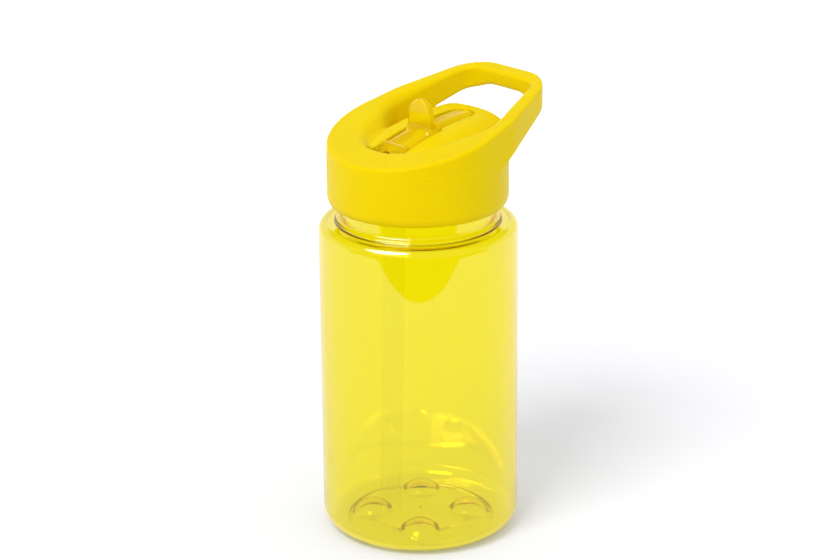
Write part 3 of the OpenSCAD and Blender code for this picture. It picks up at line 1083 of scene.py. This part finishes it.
fill_left = 0.66
fill_right = 0.84
key_turn = math.radians(12.5)
key_rise = math.radians(52)
key_away = 2.4
key_w = 1.0
key_h = 0.7
key_watts = 26.0
glare = 16.0
glare_turn = math.radians(-3)
glare_in = math.radians(15)
glare_out = math.radians(23)
floor_half = 3.0
floor_z = -0.0001
floor_shade = (0.892, 0.9, 0.93, 1)
floor_near_lift = 0.15
floor_lift = 0.09
floor_far_lift = 0.4
near_start = 0.03
near_end = 0.08
far_start = 0.2
far_end = 0.6
clear_white = 0.74
clear_shade = (1 - clear_white, 1 - clear_white, 1 - clear_white, 1)
studio_far = 1.0
studio_near = 0.3
studio_top = 0.1
studio_wall_start = 0.38
studio_wall_end = 0.5
studio_near_start = -0.3
studio_near_end = 0.4
table_r = 0.5575
table_back = 0.29
table_turn = math.radians(50)
card_color = (0.01, 0.01, 0.01, 1)
card_lift = 0.001
card_depth = 2.0
card_pieces = 24
light_bounces = 32


def lamp_way(turn):
    """Direction towards a lamp at a turn from the front."""
    flat = math.cos(key_rise)
    return Vector((flat * math.sin(turn), -flat * math.cos(turn), math.sin(key_rise)))


def floor_glow(nodes, links):
    """Glow of the paper for rays that show it, more of it at the base and far off, where less light comes."""
    place = nodes.new("ShaderNodeTexCoord")
    away = nodes.new("ShaderNodeVectorMath")
    away.operation = "LENGTH"
    links.new(place.outputs["Object"], away.inputs[0])
    distance = away.outputs["Value"]
    near = spread(nodes, links, distance, near_start, near_end, floor_near_lift, floor_lift, "SMOOTHSTEP")
    lift = spread(nodes, links, distance, far_start, far_end, near, floor_far_lift)
    shown = ray_kind(nodes, links, ["Is Camera Ray", "Is Glossy Ray"])
    return calculate(nodes, links, "MULTIPLY", shown, lift)


def lit_paper(nodes, links, color, glow):
    """Diffuse white paper with a glow added, which is a number or an output."""
    light = nodes.new("ShaderNodeEmission")
    feed(links, light.inputs["Strength"], glow)
    both = nodes.new("ShaderNodeAddShader")
    links.new(plain_shader(nodes, "ShaderNodeBsdfDiffuse", color), both.inputs[0])
    links.new(light.outputs[0], both.inputs[1])
    return both.outputs[0]


def floor_white():
    """White paper: full white where lit, shaded beside the bottle, and more even behind clear plastic."""
    material = bpy.data.materials.new("floor_white")
    material.use_nodes = True
    nodes, links = material.node_tree.nodes, material.node_tree.links
    nodes.clear()
    seen = lit_paper(nodes, links, floor_shade, floor_glow(nodes, links))
    behind = lit_paper(nodes, links, clear_shade, clear_white)
    surface = mix_shaders(nodes, links, ray_kind(nodes, links, ["Is Transmission Ray"]), seen, behind)
    output = nodes.new("ShaderNodeOutputMaterial")
    links.new(surface, output.inputs["Surface"])
    return material


def stage_sheet(name, points, faces, material):
    """A flat sheet of the studio."""
    data = bpy.data.meshes.new(name)
    data.from_pydata(points, [], faces)
    data.materials.append(material)
    sheet = bpy.data.objects.new(name, data)
    bpy.context.scene.collection.objects.link(sheet)
    return sheet


def add_floor():
    """Large white floor."""
    signs = ((-1, -1), (1, -1), (1, 1), (-1, 1))
    corners = [(a * floor_half, b * floor_half, floor_z) for a, b in signs]
    stage_sheet("floor", corners, [(0, 1, 2, 3)], floor_white())


def add_front_card():
    """Dark card beyond the white table's rounded front edge, which only mirrors see."""
    material, _, _, shader = new_material("card_dark")
    set_inputs(shader, Base_Color=card_color, Specular_IOR_Level=0.0)
    lift = Vector((0, 0, card_lift))
    points, faces = [], []
    for i in range(card_pieces + 1):
        turn = table_turn * (2 * i / card_pieces - 1)
        ahead = table_r * math.cos(turn) - table_back
        edge = camera_front * ahead + camera_side * (table_r * math.sin(turn))
        points += [edge + lift, edge + edge.normalized() * card_depth + lift]
    for i in range(card_pieces):
        faces.append((2 * i, 2 * i + 1, 2 * i + 3, 2 * i + 2))
    card = stage_sheet("front_card", points, faces, material)
    card.visible_camera = False
    card.visible_diffuse = False
    card.visible_transmission = False
    card.visible_shadow = False


def facing(nodes, links, place, way):
    """How far a direction of the surroundings points a given way, from -1 to 1."""
    product = nodes.new("ShaderNodeVectorMath")
    product.operation = "DOT_PRODUCT"
    product.inputs[1].default_value = way
    links.new(place.outputs["Generated"], product.inputs[0])
    return product.outputs["Value"]


def mirrored_studio(nodes, links, place):
    """What mirrors see: white low down behind, dim elsewhere, and a bright softbox."""
    height = facing(nodes, links, place, (0, 0, 1))
    far = spread(
        nodes, links, height, studio_wall_start, studio_wall_end, studio_far, studio_top, "SMOOTHSTEP")
    nearness = facing(nodes, links, place, camera_front)
    studio = spread(
        nodes, links, nearness, studio_near_start, studio_near_end, far, studio_near, "SMOOTHSTEP")
    softbox = facing(nodes, links, place, lamp_way(glare_turn))
    shine = spread(
        nodes, links, softbox, math.cos(glare_out), math.cos(glare_in), 0.0, glare, "SMOOTHSTEP")
    return calculate(nodes, links, "ADD", studio, shine)


def add_world():
    """Surroundings: white where seen, soft as light, and a studio of their own in mirrors."""
    world = bpy.data.worlds.new("studio")
    bpy.context.scene.world = world
    world.use_nodes = True
    nodes, links = world.node_tree.nodes, world.node_tree.links
    place = nodes.new("ShaderNodeTexCoord")
    across = facing(nodes, links, place, camera_side)
    fill = spread(nodes, links, across, -1.0, 1.0, fill_left, fill_right)
    seen = ray_kind(nodes, links, ["Is Camera Ray", "Is Transmission Ray"])
    white = spread(nodes, links, seen, 0.0, 1.0, fill, 1.0)
    either = nodes.new("ShaderNodeMix")
    links.new(mirrored_ray(nodes, links), either.inputs["Factor"])
    links.new(white, either.inputs["A"])
    links.new(mirrored_studio(nodes, links, place), either.inputs["B"])
    back = nodes["Background"]
    back.inputs["Color"].default_value = (1, 1, 1, 1)
    links.new(either.outputs["Result"], back.inputs["Strength"])


def add_key():
    """Soft key light from above, to the left of the camera."""
    data = bpy.data.lights.new("key", "AREA")
    data.shape = "RECTANGLE"
    data.size = key_w
    data.size_y = key_h
    data.energy = key_watts
    light = bpy.data.objects.new("key", data)
    aim = Vector((0, 0, aim_z * MM))
    way = lamp_way(key_turn)
    light.location = aim + way * key_away
    light.rotation_euler = (-way).to_track_quat("-Z", "Y").to_euler()
    bpy.context.scene.collection.objects.link(light)


add_floor()
add_front_card()
add_world()
add_key()
bpy.context.scene.view_settings.view_transform = "Standard"
bpy.context.scene.cycles.max_bounces = light_bounces
bpy.context.scene.cycles.glossy_bounces = light_bounces
bpy.context.scene.cycles.transmission_bounces = light_bounces
